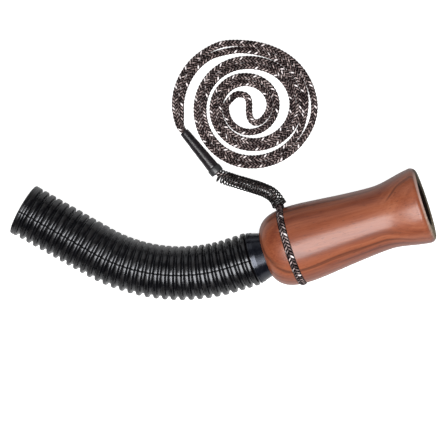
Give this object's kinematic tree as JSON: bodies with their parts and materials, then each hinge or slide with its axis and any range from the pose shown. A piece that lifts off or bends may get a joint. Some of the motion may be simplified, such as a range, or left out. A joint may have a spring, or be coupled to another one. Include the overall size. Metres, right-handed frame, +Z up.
{
  "type": "game call",
  "caption": "Turned wooden tube game call with a pull-out reed insert, a bendable corrugated hose and a braided neck lanyard with a coil spring and a shrunk-on sleeve.",
  "frame": {"origin": "on the barrel's bore axis, where the mouth bore's straight wall begins, 1.5 mm inside the mouth rim", "axes": "+X along the bore and out of the mouth, +Y towards the side where the lanyard lies coiled, +Z up; the ground is at z = -19.5 mm"},
  "size_m": [0.1969, 0.124, 0.039],
  "materials": {
    "walnut": "gloss",
    "insert_plastic": "satin",
    "board_plastic": "satin",
    "seal_rubber": "matte",
    "reed_film": "satin",
    "cork": "matte",
    "hose_plastic": "satin",
    "braided_cord": "matte",
    "spring_wire": "satin",
    "sleeve_plastic": "satin"
  },
  "bodies": {
    "barrel": {"barrel": "walnut"},
    "insert": {"insert_body": "insert_plastic", "front_seal_ring": "seal_rubber", "rear_seal_ring": "seal_rubber", "tone_board": "board_plastic", "reed_root": "reed_film", "reed_wedge": "cork"},
    "reed": {"reed_tongue": "reed_film"},
    "tuner": {"tuning_ring": "seal_rubber"},
    "hose_00": {"hose_cuff": "hose_plastic"},
    "hose_01": {"hose_segment_01": "hose_plastic"},
    "hose_02": {"hose_segment_02": "hose_plastic"},
    "hose_03": {"hose_segment_03": "hose_plastic"},
    "hose_04": {"hose_segment_04": "hose_plastic"},
    "hose_05": {"hose_segment_05": "hose_plastic"},
    "hose_06": {"hose_segment_06": "hose_plastic"},
    "hose_07": {"hose_segment_07": "hose_plastic"},
    "hose_08": {"hose_segment_08": "hose_plastic"},
    "hose_09": {"hose_segment_09": "hose_plastic"},
    "hose_10": {"hose_segment_10": "hose_plastic"},
    "hose_11": {"hose_segment_11": "hose_plastic"},
    "hose_12": {"hose_segment_12": "hose_plastic"},
    "hose_13": {"hose_end": "hose_plastic"},
    "noose": {"noose_cord": "braided_cord"},
    "lanyard": {"leg_cords": "braided_cord", "tension_spring": "spring_wire", "lanyard_sleeve": "sleeve_plastic", "neck_cord": "braided_cord"}
  },
  "joints": [
    {"name": "insert_pull", "type": "slide", "parent": "barrel", "child": "insert", "axis": [-1, 0, 0], "range_m": [0, 0.058]},
    {"name": "reed_flex", "type": "hinge", "parent": "insert", "child": "reed", "pos_m": [-0.0519, 0, 0.00098], "axis": [0, 1, 0], "range_deg": [-0.5, 3], "stiffness_Nm_per_rad": 0.002},
    {"name": "tuning_slide", "type": "slide", "parent": "insert", "child": "tuner", "axis": [1, 0, 0], "range_m": [-0.0045, 0.008]},
    {"name": "hose_turn", "type": "hinge", "parent": "insert", "child": "hose_00", "pos_m": [-0.092, 0, 0], "axis": [1, 0, 0], "continuous": true},
    {"name": "hose_bend_01", "type": "hinge", "parent": "hose_00", "child": "hose_01", "pos_m": [-0.10066, 0, 0], "axis": [0, 0, -1], "range_deg": [-5.2, 4.8]},
    {"name": "hose_bend_02", "type": "hinge", "parent": "hose_01", "child": "hose_02", "pos_m": [-0.10816, 0.00068, 0], "axis": [0, 0, -1], "range_deg": [-5.2, 4.8]},
    {"name": "hose_bend_03", "type": "hinge", "parent": "hose_02", "child": "hose_03", "pos_m": [-0.11557, 0.00204, 0], "axis": [0, 0, -1], "range_deg": [-5.2, 4.8]},
    {"name": "hose_bend_04", "type": "hinge", "parent": "hose_03", "child": "hose_04", "pos_m": [-0.12283, 0.00407, 0], "axis": [0, 0, -1], "range_deg": [-5.2, 4.8]},
    {"name": "hose_bend_05", "type": "hinge", "parent": "hose_04", "child": "hose_05", "pos_m": [-0.12987, 0.00674, 0], "axis": [0, 0, -1], "range_deg": [-5.2, 4.8]},
    {"name": "hose_bend_06", "type": "hinge", "parent": "hose_05", "child": "hose_06", "pos_m": [-0.13664, 0.01004, 0], "axis": [0, 0, -1], "range_deg": [-5.2, 4.8]},
    {"name": "hose_bend_07", "type": "hinge", "parent": "hose_06", "child": "hose_07", "pos_m": [-0.14308, 0.01395, 0], "axis": [0, 0, -1], "range_deg": [-5.2, 4.8]},
    {"name": "hose_bend_08", "type": "hinge", "parent": "hose_07", "child": "hose_08", "pos_m": [-0.14914, 0.01842, 0], "axis": [0, 0, -1], "range_deg": [-5.2, 4.8]},
    {"name": "hose_bend_09", "type": "hinge", "parent": "hose_08", "child": "hose_09", "pos_m": [-0.15478, 0.02342, 0], "axis": [0, 0, -1], "range_deg": [-5.2, 4.8]},
    {"name": "hose_tip_bend_10", "type": "hinge", "parent": "hose_09", "child": "hose_10", "pos_m": [-0.15993, 0.02891, 0], "axis": [0, 0, -1], "range_deg": [-5, 5]},
    {"name": "hose_tip_bend_11", "type": "hinge", "parent": "hose_10", "child": "hose_11", "pos_m": [-0.16509, 0.0344, 0], "axis": [0, 0, -1], "range_deg": [-5, 5]},
    {"name": "hose_tip_bend_12", "type": "hinge", "parent": "hose_11", "child": "hose_12", "pos_m": [-0.17024, 0.03989, 0], "axis": [0, 0, -1], "range_deg": [-5, 5]},
    {"name": "hose_tip_bend_13", "type": "hinge", "parent": "hose_12", "child": "hose_13", "pos_m": [-0.1754, 0.04538, 0], "axis": [0, 0, -1], "range_deg": [-5, 5]},
    {"name": "lanyard_turn", "type": "hinge", "parent": "barrel", "child": "noose", "pos_m": [-0.066, 0, 0], "axis": [1, 0, 0], "continuous": true},
    {"name": "lanyard_swing", "type": "hinge", "parent": "noose", "child": "lanyard", "pos_m": [-0.066, 0.0206, 0], "axis": [0, 0, -1], "range_deg": [-25, 25]}
  ],
  "couplings": [
    {"joint": "hose_bend_02", "follows": "hose_bend_01", "ratio": 1},
    {"joint": "hose_bend_03", "follows": "hose_bend_01", "ratio": 1},
    {"joint": "hose_bend_04", "follows": "hose_bend_01", "ratio": 1},
    {"joint": "hose_bend_05", "follows": "hose_bend_01", "ratio": 1},
    {"joint": "hose_bend_06", "follows": "hose_bend_01", "ratio": 1},
    {"joint": "hose_bend_07", "follows": "hose_bend_01", "ratio": 1},
    {"joint": "hose_bend_08", "follows": "hose_bend_01", "ratio": 1},
    {"joint": "hose_bend_09", "follows": "hose_bend_01", "ratio": 1},
    {"joint": "hose_tip_bend_11", "follows": "hose_tip_bend_10", "ratio": 1},
    {"joint": "hose_tip_bend_12", "follows": "hose_tip_bend_10", "ratio": 1},
    {"joint": "hose_tip_bend_13", "follows": "hose_tip_bend_10", "ratio": 1}
  ]
}
